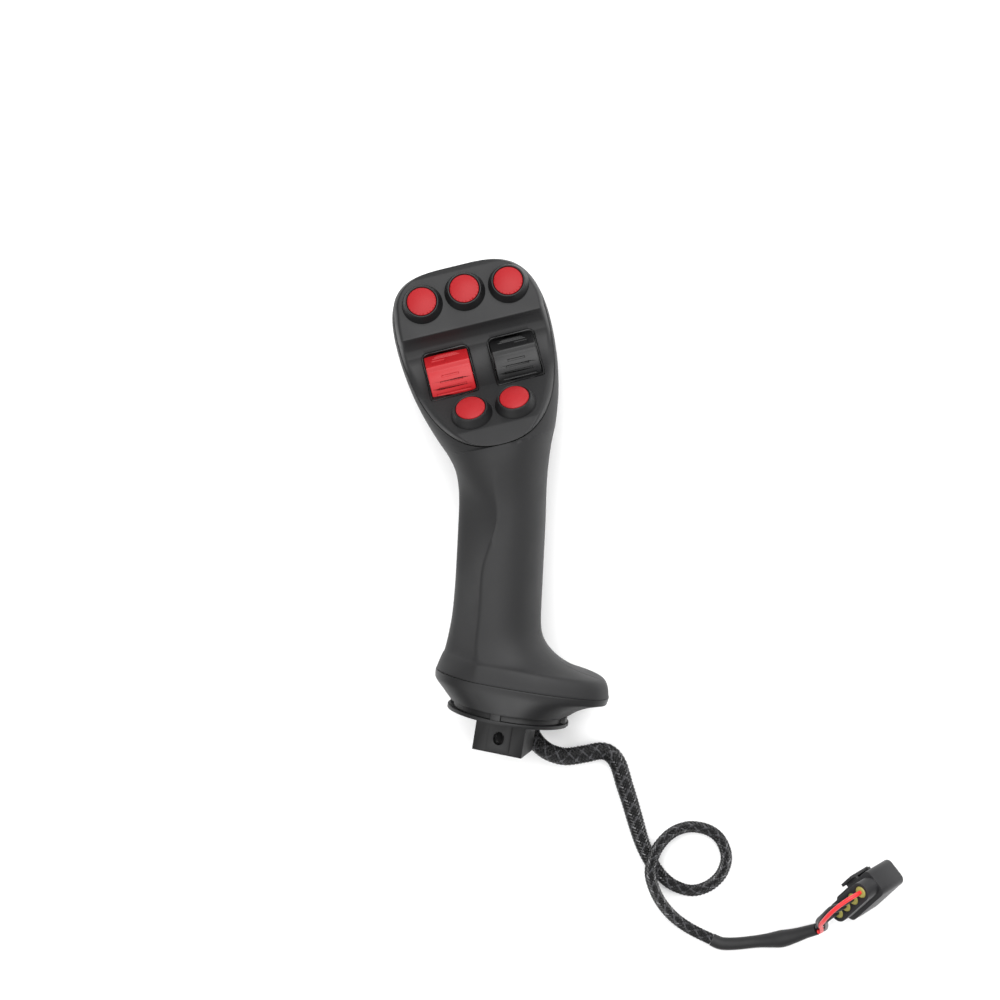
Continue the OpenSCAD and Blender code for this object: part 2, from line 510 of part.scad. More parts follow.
// Cord: a curve through chosen points, each with its own radius
function blend(a, b, c, d, t) = 0.5 * (2 * b + (c - a) * t + (2 * a - 5 * b + 4 * c - d) * t * t
    + (3 * b - a - 3 * c + d) * t * t * t);
function curve(p, m) = let (n = len(p) - 1) concat([for (i = [0 : n - 1]) for (k = [0 : m - 1])
    blend(p[max(i - 1, 0)], p[i], p[i + 1], p[min(i + 2, n)], k / m)], [p[n]]);
function xyz(p) = [p[0], p[1], p[2]];
function heading(p, i) = let (v = xyz(p[min(i + 1, len(p) - 1)]) - xyz(p[max(i - 1, 0)])) v / norm(v);
module sweep(p, n) let (m = len(p),
    pts = [for (i = [0 : m - 1]) let (t = heading(p, i), c = cross(t, [0, 0, 1]), s = c / norm(c), v = cross(s, t))
        for (k = [0 : n - 1]) xyz(p[i]) + p[i][3] * (cos(360 * k / n) * s + sin(360 * k / n) * v)],
    sides = [for (i = [0 : m - 2]) for (k = [0 : n - 1]) let (a = i * n + k, b = i * n + (k + 1) % n)
        each [[a, b, a + n], [b, b + n, a + n]]])
    polyhedron(pts, concat(sides, [[for (k = [n - 1 : -1 : 0]) k], [for (k = [0 : n - 1]) (m - 1) * n + k]]));

// Gap where one piece of the cord ends and the next begins
joint_gap = 0.15;
sleeve_route = [[8, 1, -17.5, 4.2], [8, -5, -17.8, 4.2], [10, -11.5, -19, 4.2], [16.5, -17, -21.5, 4.2],
    [25, -18.8, -24.5, 4.2], [33.5, -16.6, -27.5, 4.2], [41.5, -13.8, -30, 4.1], [46.5, -15, -31.2, 4.1],
    [50.5, -19.2, -31.8, 4.1], [54.5, -27.2, -31.8, 4.1], [59, -36, -31.8, 4], [63.3, -45, -32, 3.9],
    [68, -54.3, -32.3, 3.6], [73.4, -62, -32.6, 3.3], [79.2, -67.5, -33, 3], [86.1, -71, -33.2, 2.8],
    [94.4, -71.6, -33.2, 2.7], [101.5, -68.1, -33.2, 2.7], [106.3, -62.2, -33.2, 2.7], [108.1, -55.5, -33.2, 2.7],
    [107.2, -50, -33.2, 2.7], [103.3, -44.3, -33.2, 2.7], [97, -41.3, -33, 2.7], [88.6, -41.4, -31.6, 2.7],
    [81.8, -44.8, -29, 2.7], [77.2, -50.8, -26.8, 2.7], [74.8, -58, -25.8, 2.7], [74.6, -65.3, -25.8, 2.7],
    [77.2, -72.4, -27, 2.7], [82, -79.8, -29.6, 2.7], [89, -86, -32, 2.7], [97.5, -90, -33.2, 2.7],
    [107.6, -92.6, -33.2, 2.7]];
shrink_route = [[107.8, -92.65, -33.2, 3], [112.6, -93.5, -33.15, 3], [119.5, -92, -33, 2.9], [128.5, -88.9, -32.6, 2.9],
    [134.5, -86.8, -31.9, 3.4], [140, -84.6, -31, 4], [145.5, -81.6, -29.6, 3.4], [150.5, -78.4, -28, 2.9],
    [155.5, -75.3, -26.2, 2.7]];
module braided_sleeve() color("#232427") place() sweep(curve(sleeve_route, 2), 10);
module heat_shrink() color("#2c2d30") place() sweep(curve(shrink_route, 2), 12);

// Connector: it stands on the edge of its nose, with its wires' side up
plug_turn = 211;
plug_lean = 35;
plug_spin = -157.5;
plug_x = 168.5;
plug_y = -55.5;
plug_corner = 3;
function spin(v, a) = [v[0] * cos(a) - v[1] * sin(a), v[0] * sin(a) + v[1] * cos(a), v[2]];
function tip(v, a) = [v[0] * cos(a) + v[2] * sin(a), v[1], v[2] * cos(a) - v[0] * sin(a)];
function plug_way(v) = spin(tip(spin(v, plug_spin), plug_lean), plug_turn);
// Height of the wires' side, from the corner of the nose that touches the surface
side_x = plug_way([1, 0, 0])[2];
side_y = plug_way([0, 1, 0])[2];
plug_z = plug_l * cos(plug_lean) + (plug_w / 2 - plug_corner) * abs(side_x) + (plug_t / 2 - plug_corner) * abs(side_y)
    + plug_corner * norm([side_x, side_y]) - lift;
module at_plug() translate([plug_x, plug_y, plug_z]) rotate([0, 0, plug_turn]) rotate([0, plug_lean, 0])
    rotate([0, 0, plug_spin]) children();
module pill(w, t, r) for (s = [0, 1]) {
    translate([-w / 2 + s * r, -t / 2 + (1 - s) * r]) square([w - 2 * s * r, t - 2 * (1 - s) * r]);
    for (a = [-1, 1]) translate([a * (w / 2 - r), (2 * s - 1) * (t / 2 - r)]) circle(r = r);
}
module block(w, t, r, z0, z1) translate([0, 0, z0]) linear_extrude(z1 - z0) pill(w, t, r);
seal_d = 5.6;
tower_w = 3 * wire_pitch + 8.4;
tower_t = 9;
tower_h = 8;
socket = 11;
module connector() color("#2d2e31") place() at_plug() difference() {
    union() {
        block(plug_w, plug_t, plug_corner, -plug_l, -tower_h);
        block(tower_w, tower_t, 4.4, -tower_h, 0);
        translate([-5, plug_t / 2 - 0.5, -plug_l + 4]) cube([10, 2.6, 1.8]);
        translate([-4, plug_t / 2 + 1.4, -plug_l + 4]) cube([8, 1.4, 13]);
        translate([-4, plug_t / 2 - 0.5, -tower_h - 3]) cube([8, 3.3, 1.4]);
    }
    difference() {
        block(plug_w - 4, plug_t - 4, 2, -plug_l - 1, -plug_l + socket);
        block(plug_w - 8.4, plug_t - 8.4, 1, -plug_l - 2, -plug_l + socket + 1);
    }
    at_wires() translate([0, 0, -6]) cylinder(d = seal_d + 0.1, h = 7);
    at_wires() translate([0, 0, -plug_l - 1]) cylinder(d = 2.2, h = plug_l, $fn = 24);
}
module at_wires() for (k = [0 : 3]) translate([(k - 1.5) * wire_pitch, 0, 0]) children();
module seals() color("#a8a04e") place() at_plug() at_wires() difference() {
    union() {
        translate([0, 0, -6]) cylinder(d = seal_d, h = 5.6);
        translate([0, 0, -0.4]) cylinder(d1 = seal_d, d2 = seal_d - 1.2, h = 0.6);
    }
    translate([0, 0, -7]) cylinder(d = 1.6, h = 5, $fn = 24);
}
module terminals() color("#c9b27a") place() at_plug() at_wires() translate([0, 0, -plug_l + 2])
    cylinder(d = 1.5, h = plug_l - 5, $fn = 24);

// Wires: each leaves the heat shrink beside the others and bends over into its own seal
bundle = wire_d / 2 + 0.63;
bundle_turns = [-45, 225, 135, 45];
function plug_spot(p) = [plug_x, plug_y, plug_z] + plug_way(p);
function seat_x(k) = (k - 1.5) * wire_pitch;
wire_ways = [
    [[-22, -0.8, -1.2], [-16.5, -0.4, 3.4], [-12.6, 0, 5.8], [-10, 0, 4.9]],
    [[-22, 2, -1.1], [-16.5, 2.6, 3.2], [-10, 2.7, 5], [-6.2, 1.6, 6], [-3.7, 0.3, 4.8]],
    [[-22, 2, 2.3], [-16.5, 2.6, 6.2], [-10, 2.5, 8], [-3.5, 2.5, 8.2], [0.3, 1.4, 7.6], [2.8, 0.2, 5.2]],
    [[-22, -0.8, 2.4], [-16.5, 0.1, 6.9], [-10, 0.3, 9.7], [-3.5, 0.6, 10.4], [3, 0.6, 9.6], [7.8, 0.3, 7]]];
function wire_route(k) = let (n = len(shrink_route) - 1, a = xyz(shrink_route[n]), t = heading(shrink_route, n),
        c = cross(t, [0, 0, 1]), s = c / norm(c), v = cross(s, t), q = bundle_turns[k],
        start = a + 2 * joint_gap * t + bundle * (cos(q) * s + sin(q) * v))
    [for (p = concat([start, start + (k < 2 ? 3 : 2) * t], [for (w = wire_ways[k]) plug_spot(w)],
                     [plug_spot([seat_x(k), 0, k == 3 ? 3.6 : 2.4]), plug_spot([seat_x(k), 0, 0.2])]))
        [p[0], p[1], p[2], wire_d / 2]];
module wire(k) color(k == 3 ? "#ee3a3e" : "#26272a") place() sweep(curve(wire_route(k), 2), 8);

front_shell();
rear_shell();
face_plate();
for (i = [0 : 4]) {
    guard(i);
    cap(i);
    switch_element(i);
}
button_nuts();
shell_screws();
color("#e0303a") roller(-1);  // roller_left
color("#18191b") roller(1);  // roller_right
roller_frame(-1);  // roller_frame_left
roller_frame(1);  // roller_frame_right
axle(-1);  // axle_left
axle(1);  // axle_right
collar();
hub();
base_screws();
braided_sleeve();
heat_shrink();
for (k = [0 : 3]) wire(k);
connector();
seals();
terminals();
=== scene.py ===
import json
import math

import bmesh
import bpy
from mathutils import Matrix, Vector

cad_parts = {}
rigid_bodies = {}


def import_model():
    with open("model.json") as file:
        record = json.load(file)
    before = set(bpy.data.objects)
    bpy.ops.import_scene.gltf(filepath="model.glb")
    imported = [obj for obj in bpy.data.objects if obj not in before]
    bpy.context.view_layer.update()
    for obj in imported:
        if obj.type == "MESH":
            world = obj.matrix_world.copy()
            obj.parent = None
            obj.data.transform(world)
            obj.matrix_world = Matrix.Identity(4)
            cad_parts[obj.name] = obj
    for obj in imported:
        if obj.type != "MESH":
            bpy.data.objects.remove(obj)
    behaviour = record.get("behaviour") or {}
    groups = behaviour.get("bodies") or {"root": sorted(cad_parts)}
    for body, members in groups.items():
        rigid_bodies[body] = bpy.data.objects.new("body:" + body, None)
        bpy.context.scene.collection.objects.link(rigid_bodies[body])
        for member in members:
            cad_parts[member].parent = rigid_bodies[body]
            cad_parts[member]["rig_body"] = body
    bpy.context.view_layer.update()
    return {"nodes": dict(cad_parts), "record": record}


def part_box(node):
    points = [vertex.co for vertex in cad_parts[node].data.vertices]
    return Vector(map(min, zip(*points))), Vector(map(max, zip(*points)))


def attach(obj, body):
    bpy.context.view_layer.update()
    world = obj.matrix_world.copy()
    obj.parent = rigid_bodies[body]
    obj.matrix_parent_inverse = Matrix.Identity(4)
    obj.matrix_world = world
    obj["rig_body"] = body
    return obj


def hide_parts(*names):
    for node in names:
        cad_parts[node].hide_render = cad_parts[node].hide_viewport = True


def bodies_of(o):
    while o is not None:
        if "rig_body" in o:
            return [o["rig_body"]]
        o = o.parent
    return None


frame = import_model()

MM = 0.001
BODY = "handle"
UP_Z = Vector((0, 0, 1))

# The lever's axis in the frame. The handle lies with its axis a little above the surface, and the
# axis point that every place below is measured from is a set way up from the hub's lower face.
AXIS_UP = 36
HUB_TO_ZERO = 16.5
hub_low, hub_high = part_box("hub")
AXIS = Vector(((hub_low.x + hub_high.x) / 2, hub_low.y + HUB_TO_ZERO * MM, AXIS_UP * MM))


# ---------------------------------------------------------------- camera and light

def link(name, data):
    """A new object in the scene for a mesh, lamp or camera."""
    thing = bpy.data.objects.new(name, data)
    bpy.context.scene.collection.objects.link(thing)
    return thing


def look_at(thing, target, roll=0.0):
    """Turns a lamp or camera toward a point, with +Y up in its picture, and then rolls it."""
    way = (target - thing.location).normalized()
    side = way.cross(Vector((0, 1, 0))).normalized()
    up = side.cross(way)
    turn = Matrix((side, up, -way)).transposed()
    thing.rotation_euler = (turn @ Matrix.Rotation(math.radians(roll), 3, "Z")).to_euler()


CAMERA_AT = Vector((203.4, 194.1, 1016.6))
CAMERA_AIM = Vector((-19.6, 98.3, 0))
CAMERA_ROLL = 8.99
LENS, SENSOR = 81.25, 36
LAMP_AIM = Vector((0, 0, 30))


def make_camera():
    """The camera, and the scene's use of it."""
    lens = bpy.data.cameras.new("camera")
    lens.lens = LENS
    lens.sensor_width = SENSOR
    camera = link("camera", lens)
    camera.location = AXIS + CAMERA_AT * MM
    look_at(camera, AXIS + CAMERA_AIM * MM, CAMERA_ROLL)
    bpy.context.scene.camera = camera


def add_lamp(name, place, power, width, height):
    """A soft box: place and size in millimetres, aimed at the middle of the handle."""
    lamp = bpy.data.lights.new(name, "AREA")
    lamp.shape = "RECTANGLE"
    lamp.size = width * MM
    lamp.size_y = height * MM
    lamp.energy = power
    box = link(name, lamp)
    box.location = Vector(place) * MM
    look_at(box, LAMP_AIM * MM)


make_camera()
# A large soft box over the upper right gives the caps their bright side; a weaker one fills in below
add_lamp("key_softbox", (340, 620, 1080), 31, 1500, 1500)
add_lamp("low_softbox", (-350, -450, 1150), 9, 1200, 1000)


# ---------------------------------------------------------------- nodes and colours

def linear(code):
    """An sRGB hex colour as linear RGBA."""
    parts = [int(code[k:k + 2], 16) / 255 for k in (1, 3, 5)]
    flat = [c / 12.92 if c < 0.04045 else ((c + 0.055) / 1.055) ** 2.4 for c in parts]
    return (*flat, 1.0)


def add(tree, kind, inputs=None, **settings):
    """Adds a node: its settings, then its inputs, each a value or another node's output."""
    made = tree.nodes.new(kind)
    for key, value in settings.items():
        setattr(made, key, value)
    for key, value in (inputs or {}).items():
        if isinstance(value, bpy.types.NodeSocket):
            tree.links.new(value, made.inputs[key])
        else:
            made.inputs[key].default_value = value
    return made


def blank(name):
    """A material with only its output node."""
    finish = bpy.data.materials.new(name)
    finish.use_nodes = True
    finish.node_tree.nodes.clear()
    return finish, finish.node_tree


def set_surface(tree, shader):
    """Gives a material its surface."""
    add(tree, "ShaderNodeOutputMaterial", {"Surface": shader.outputs[0]})


CLOUD_MM = 22
ROUGH_SHIFT = 0.05
GRAIN_DEPTH = 0.25


def moulded(name, colour, worn, roughness, grain_mm, depth, specular=0.5):
    """Injection-moulded plastic: a spark-eroded grain, slow shifts of tone and handling marks."""
    finish, tree = blank(name)
    place = add(tree, "ShaderNodeTexCoord").outputs["Object"]
    grain = add(tree, "ShaderNodeTexNoise",
                {"Vector": place, "Scale": 1 / (grain_mm * MM), "Detail": 2.0})
    cloud = add(tree, "ShaderNodeTexNoise",
                {"Vector": place, "Scale": 1 / (CLOUD_MM * MM), "Detail": 4.0})
    tone = add(tree, "ShaderNodeMix",
               {"Factor": cloud.outputs["Fac"], "A": linear(colour), "B": linear(worn)},
               data_type="RGBA")
    rough = add(tree, "ShaderNodeMapRange",
                {"Value": cloud.outputs["Fac"], "From Min": 0.3, "From Max": 0.7,
                 "To Min": roughness - ROUGH_SHIFT, "To Max": roughness + ROUGH_SHIFT})
    bump = add(tree, "ShaderNodeBump",
               {"Height": grain.outputs["Fac"], "Strength": depth,
                "Distance": grain_mm * MM * GRAIN_DEPTH})
    set_surface(tree, add(tree, "ShaderNodeBsdfPrincipled", {
        "Base Color": tone.outputs["Result"], "Roughness": rough.outputs["Result"],
        "Specular IOR Level": specular, "Normal": bump.outputs["Normal"]}))
    return finish


def metal(name, colour, roughness, grain_mm):
    """Bright metal with fine machining grain."""
    finish, tree = blank(name)
    place = add(tree, "ShaderNodeTexCoord").outputs["Object"]
    grain = add(tree, "ShaderNodeTexNoise",
                {"Vector": place, "Scale": 1 / (grain_mm * MM), "Detail": 3.0})
    rough = add(tree, "ShaderNodeMapRange",
                {"Value": grain.outputs["Fac"], "To Min": roughness - 0.06, "To Max": roughness + 0.1})
    set_surface(tree, add(tree, "ShaderNodeBsdfPrincipled", {
        "Base Color": linear(colour), "Metallic": 1.0, "Roughness": rough.outputs["Result"]}))
    return finish


# Soft-touch polypropylene of the housings: dull, with a fine even grain that breaks up highlights
shell_pp = moulded("soft_touch_polypropylene", "#161617", "#1a1a1b", 0.6, 0.35, 0.3, 0.36)
# Satin ABS of the face plate: darker and a little smoother, so its edges catch the light
plate_abs = moulded("satin_abs", "#141415", "#171718", 0.55, 0.25, 0.2, 0.36)
# Glass-filled nylon of the guards, collar and hub: near black, with the least shine
nylon = moulded("glass_filled_nylon", "#0e0e0f", "#121213", 0.5, 0.3, 0.25, 0.34)
# Polycarbonate caps with a soft satin skin, so the light spreads over their crowns
cap_red = moulded("satin_red_polycarbonate", "#8e0c13", "#951118", 0.55, 0.2, 0.12, 0.3)
# Smooth ABS of the rollers, in red and in black: it shows the step of the thumb face
roller_red = moulded("gloss_red_abs", "#9a0d14", "#a01219", 0.5, 0.4, 0.05, 0.4)
roller_black = moulded("gloss_black_abs", "#0c0c0d", "#0f0f10", 0.45, 0.4, 0.05, 0.4)
# The thin rims round the rollers: the same ABS, blacker than the plate they stand in
rim_black = moulded("gloss_rim_abs", "#0b0b0c", "#0e0e0f", 0.45, 0.3, 0.05, 0.4)
# Plain polyamide of the switch elements and frames inside
inner = moulded("black_polyamide", "#18191b", "#1e1f21", 0.5, 0.3, 0.2)
# Sealed connector housing, PBT with a faint sheen
pbt = moulded("connector_pbt", "#161618", "#1b1b1d", 0.5, 0.25, 0.15, 0.4)
# Olive-yellow silicone of the wire seals, soft and dull
silicone = moulded("olive_silicone", "#8d8741", "#9a944c", 0.55, 0.3, 0.1)
# Thick-walled heat shrink: dull polyolefin, slightly uneven over what it covers
polyolefin = moulded("heat_shrink_polyolefin", "#161617", "#1a1a1b", 0.6, 1.2, 0.5, 0.36)
# Wire insulation in soft PVC, with a little more shine than the mouldings
red_pvc = moulded("red_pvc", "#d8282c", "#de3034", 0.4, 0.3, 0.05, 0.4)
black_pvc = moulded("black_pvc", "#1d1e20", "#242528", 0.4, 0.3, 0.05)
# Braided sleeving: black polyester yarn, and a lighter copy of it on some strands that is painted glint, in
# slanting rows
yarn_dark = moulded("braided_polyester", "#0b0b0c", "#101011", 0.35, 0.15, 0.2)
painted_glint_yarn = moulded("braided_polyester_painted_glint", "#39393b", "#434346", 0.28, 0.15, 0.2, 0.7)
# Screws and axles in zinc-plated steel, nuts in nickel-plated brass, terminals in tinned bronze
steel = metal("zinc_plated_steel", "#b9bcc0", 0.35, 0.2)
nickel = metal("nickel_plated_brass", "#a5a39c", 0.3, 0.2)
tin = metal("tinned_bronze", "#c6b48c", 0.35, 0.2)

# The finish of each slot of the record
FINISHES = {
    "body": shell_pp, "plate": plate_abs, "guard": nylon, "cap": cap_red, "roller_red": roller_red,
    "roller_black": roller_black, "base": nylon, "inner": inner, "steel": steel, "nickel": nickel,
    "seal": silicone, "terminal": tin, "shrink": polyolefin, "braid": nylon, "wire_red": red_pvc,
    "wire_dark": black_pvc, "board": inner}
slots = {p["node"]: p["material_slot"] for p in frame["record"]["subparts"]}


def finish_of(node):
    """A CAD node's finish: its slot's, but for the connector, which has its own plastic."""
    return pbt if node == "connector" else FINISHES[slots[node]]


for name, node in frame["nodes"].items():
    node.data.materials.clear()
    node.data.materials.append(finish_of(name))


# ---------------------------------------------------------------- modelling helpers

def pick(piece):
    """Makes one piece the only selected one."""
    bpy.ops.object.select_all(action="DESELECT")
    bpy.context.view_layer.objects.active = piece
    piece.select_set(True)


def modify(piece, kind, **settings):
    """Adds a modifier, sets it and applies it."""
    pick(piece)
    made = piece.modifiers.new(kind.lower(), kind)
    for key, value in settings.items():
        setattr(made, key, value)
    bpy.ops.object.modifier_apply(modifier=made.name)


def place_mesh(piece, matrix=None):
    """Moves a piece's place into its mesh, through a frame given in metres."""
    piece.data.transform((matrix or Matrix()) @ piece.matrix_basis)
    piece.matrix_basis = Matrix()


def cut(piece, cutters):
    """Cuts each cutter out of the piece and throws the cutter away."""
    for cutter in cutters:
        modify(piece, "BOOLEAN", operation="DIFFERENCE", solver="EXACT", object=cutter)
        bpy.data.objects.remove(cutter)


def mesh_piece(name, points, faces):
    """A piece from points in millimetres and faces."""
    data = bpy.data.meshes.new(name)
    data.from_pydata([Vector(p) * MM for p in points], [], faces)
    return link(name, data)


def face_outward(piece):
    """Turns every face of a closed piece outward."""
    pick(piece)
    bpy.ops.object.mode_set(mode="EDIT")
    bpy.ops.mesh.select_all(action="SELECT")
    bpy.ops.mesh.normals_make_consistent(inside=False)
    bpy.ops.object.mode_set(mode="OBJECT")


def body_of(node):
    """The body that a CAD node moves with."""
    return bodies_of(frame["nodes"][node])[0]


def soften(piece, width, angle, segments=2):
    """Breaks the edges sharper than an angle with a small radius, in millimetres."""
    modify(piece, "BEVEL", width=width * MM, segments=segments, limit_method="ANGLE",
           angle_limit=math.radians(angle))


def settle(piece, finish, body=BODY, stands_for=None):
    """Gives a finished piece its material and body, and hides the CAD node it stands for."""
    piece.data.materials.clear()
    piece.data.materials.append(finish)
    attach(piece, body)
    if stands_for:
        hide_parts(stands_for)


MERGE_MM = 0.02


def merged_copy(node, name):
    """A copy of a CAD node with its loose triangles joined, and paired where they are nearly flat."""
    piece = link(name, frame["nodes"][node].data.copy())
    pick(piece)
    bpy.ops.object.mode_set(mode="EDIT")
    bpy.ops.mesh.select_all(action="SELECT")
    bpy.ops.mesh.remove_doubles(threshold=MERGE_MM * MM)
    bpy.ops.mesh.tris_convert_to_quads(face_threshold=math.radians(40),
                                       shape_threshold=math.radians(60))
    bpy.ops.object.mode_set(mode="OBJECT")
    return piece


def smooth_by(piece, angle):
    """Smooth shading, but for the edges sharper than an angle."""
    pick(piece)
    bpy.ops.object.shade_smooth_by_angle(angle=math.radians(angle))


# ---------------------------------------------------------------- housings

# The soft ridge down the front of the shaft is the only lesser bend that stays an edge: it runs
# nearly along the lever and lies above this height over the axis
RIDGE_Z = 15
CUT_ANGLE, RIDGE_ANGLE = 50, 20
RIDGE_ALONG, RIDGE_CREASE = 0.75, 0.85


def housing(node, name, edge):
    """A housing subdivided smooth, with its cut edges kept and then broken by a small radius."""
    piece = merged_copy(node, name)
    mesh = bmesh.new()
    mesh.from_mesh(piece.data)
    crease = mesh.edges.layers.float.new("crease_edge")
    for side in mesh.edges:
        if len(side.link_faces) != 2:
            continue
        ends = [v.co - AXIS for v in side.verts]
        run = (ends[1] - ends[0]).normalized()
        angle = math.degrees(side.calc_face_angle())
        above = min(p.z for p in ends) > RIDGE_Z * MM
        if angle > CUT_ANGLE:
            side[crease] = 1.0
        elif angle > RIDGE_ANGLE and abs(run.y) > RIDGE_ALONG and above:
            side[crease] = RIDGE_CREASE
    mesh.to_mesh(piece.data)
    mesh.free()
    modify(piece, "SUBSURF", levels=2, render_levels=2)
    soften(piece, edge, CUT_ANGLE)
    smooth_by(piece, 40)
    settle(piece, finish_of(node), BODY, node)


def crisp(node, name, edge, angle=35):
    """A CAD node with its sharp edges broken by a small radius."""
    piece = merged_copy(node, name)
    soften(piece, edge, angle)
    smooth_by(piece, angle)
    settle(piece, finish_of(node), body_of(node), node)


housing("front_shell", "front_housing", 0.25)
housing("rear_shell", "rear_housing", 0.25)
housing("collar", "base_collar", 0.2)
crisp("hub", "base_hub", 0.25)
crisp("connector", "sealed_connector", 0.25)


# ---------------------------------------------------------------- head: its frame and outlines

def lookup(table, at):
    """Reads a table of (place, value) pairs, with straight lines between them."""
    if at <= table[0][0]:
        return table[0][1]
    for (a, p), (b, q) in zip(table, table[1:]):
        if at <= b:
            return p + (q - p) * (at - a) / (b - a)
    return table[-1][1]


def ease(t):
    """Zero to one with a soft start and end."""
    t = max(0.0, min(1.0, t))
    return t * t * (3 - 2 * t)


# The head's frame: X across the face, Y up it and Z out of it, turned and canted on the shaft
HEAD_AT, HEAD_YAW, HEAD_CANT = Vector((-21.5, 121.4, 1)), 14.9, 22.5
HEAD = (Matrix.Translation(AXIS + HEAD_AT * MM)
        @ Matrix.Rotation(math.radians(HEAD_YAW), 4, "Y")
        @ Matrix.Rotation(math.radians(HEAD_CANT), 4, "Z"))
# Heights of the head's top, widest place and chin, the widths there, and the shell's front depth
HEAD_H, WIDE_H, CHIN_H = 86.8, 55.0, 4.6
BODY_W, SEAM_W = 73.2, 71.4
HEAD_FRONT = 25.5
# The plate: its wall, its parting from the shell, the wider gap that the eye sees as a dark seam,
# and how far it covers the shell's edge at the top and at the top corners
PLATE_T = 2.0
PARTING, SEAM_GAP, TOP_COVER, CORNER_COVER = 0.2, 0.45, 0.85, 0.9
PLATE_SHARE = 1 - 2 * SEAM_GAP / SEAM_W
# Heights at which the plate starts to cover the right and the left corner, and the run to full cover
COVER_RIGHT, COVER_LEFT, COVER_RUN = 60, 70, 8
# Curves of the outline: fall and fullness of the upper corners, the shell's narrowing toward the
# chin, and the opening's half width at the chin and its fullness below
RIGHT_CORNER, LEFT_CORNER = (2.3, 3.6), (3, 4)
CHIN_NARROWING, CHIN_HALF, CHIN_FULL = 13, 3, 2.6

# Profile of the face down its middle: chin, lower panel, valley of the rollers, cove, upper panel
CHIN_EDGE, CREST, CREASE = (13.2, 20.5), (30.9, 1.8), (50.2, -7.6)
RIDGE, BROW = (59.45, -3.3), (84.57, -12.9)
# The valley's lean, middle, half length and depth, and its own directions up and out
VALLEY = math.atan2(CREST[1] - CREASE[1], CREASE[0] - CREST[0])
VALLEY_MID = Vector(((CREST[0] + CREASE[0]) / 2, (CREST[1] + CREASE[1]) / 2))
VALLEY_HALF = (Vector(CREASE) - Vector(CREST)).length / 2
VALLEY_SAG = 3.0
UP = Vector((math.cos(VALLEY), -math.sin(VALLEY)))
OUT = Vector((math.sin(VALLEY), math.cos(VALLEY)))
# Shares of the way up the valley, with the extra depth that makes its upper end break at the crease
VALLEY_DROPS = [(-0.85, 0), (-0.7, 0), (-0.5, 0), (-0.25, 0), (0, 0.1), (0.25, 0.2), (0.5, 0.35),
                (0.7, 0.5), (0.85, 0.5)]
COVE = [(52, -7.5), (54, -7.1), (55.6, -6.4), (57, -5.5), (58.3, -4.4)]
PROFILE = ([(CHIN_H, 25.6), CHIN_EDGE, CREST]
           + [tuple(VALLEY_MID + UP * VALLEY_HALF * k - OUT * (VALLEY_SAG * (1 - k * k) + drop))
              for k, drop in VALLEY_DROPS]
           + [CREASE, *COVE, RIDGE, BROW, (HEAD_H, -14.9)])
# Width of the plate's rolled edge, and depth of the shell's parting plane, at heights of the head
CHAMFER = [(CHIN_H, 1.2), (10, 3.6), (13.2, 4.4), (22, 4.5), (CREST[0], 3.6), (36, 4.4), (41, 4.4),
           (48, 2.4), (57, 2.8), (73.1, 2.7), (80.1, 2.4), (HEAD_H, 2)]
ROLL_POWER = 2.4
WIDEST_DEPTH = [(CHIN_H, -1), (20, -4.5), (31, -10), (45, -17), (WIDE_H, -19.5), (74.1, -21),
                (HEAD_H, -21.6)]


def span(h):
    """Height from the widest place to the chin, or to the top."""
    return WIDE_H - CHIN_H if h < WIDE_H else HEAD_H - WIDE_H


def corner(h, side):
    """Share of the half width left at a height over the widest place; the right corner is rounder."""
    fall, full = RIGHT_CORNER if side > 0 else LEFT_CORNER
    return max(0, 1 - ((h - WIDE_H) / span(h)) ** fall) ** (1 / full)


def body_half(h, side):
    """Half width of the shell."""
    if h < WIDE_H:
        return BODY_W / 2 - CHIN_NARROWING * ((WIDE_H - h) / WIDE_H) ** 2
    return BODY_W / 2 * corner(h, side)


def seam_half(h, side):
    """Half width of the opening that the plate sits in."""
    if h < WIDE_H:
        left = max(0, 1 - ((WIDE_H - h) / span(h)) ** 2)
        return max(CHIN_HALF, SEAM_W / 2 * left ** (1 / CHIN_FULL))
    return SEAM_W / BODY_W * body_half(h, side)


def middle(h):
    """The face's own middle, which drifts a little to the left toward the top."""
    return lookup([(20, 0), (60, -0.6)], h)


def seam_depth(h, side):
    """Depth of the shell's surface at the seam."""
    inward = seam_half(h, side) / body_half(h, side)
    return lookup(WIDEST_DEPTH, h) + HEAD_FRONT * math.sqrt(1 - inward ** 2) + PARTING / 2


def face_depth(h):
    """The profile's depth, with its corners rounded over about half a millimetre."""
    return sum(lookup(PROFILE, h + k) for k in (-0.3, -0.15, 0, 0.15, 0.3)) / 5


def plate_spot(h, share):
    """A point of the face plate, at a share of the way from its middle to the left or right seam."""
    side = 1 if share > 0 else -1
    seam = seam_half(h, side)
    cover = ease((h - (COVER_RIGHT if side > 0 else COVER_LEFT)) / COVER_RUN) * CORNER_COVER
    half = seam * PLATE_SHARE + cover * (body_half(h, side) - seam)
    u = abs(share) * half
    edge = lookup(CHAMFER, h)
    rolled = max(0, (u - (half - edge)) / edge)
    depth = face_depth(h)
    inset = SEAM_GAP if h < WIDE_H else -TOP_COVER
    return (middle(h) + side * u, WIDE_H + (h - WIDE_H) * (1 - inset / span(h)),
            depth - (depth - seam_depth(h, side)) * rolled ** ROLL_POWER)


def plate_back(h, share):
    """The point of the plate's inner side that lies behind a point of its face."""
    u, k, d = plate_spot(h, share)
    m = middle(h)
    thin = 1 - 0.8 * abs(share) ** 12
    return (m + (u - m) * (1 - PLATE_T / max(abs(u - m), 9)),
            WIDE_H + (k - WIDE_H) * (1 - PLATE_T / span(h)), d - PLATE_T * thin)


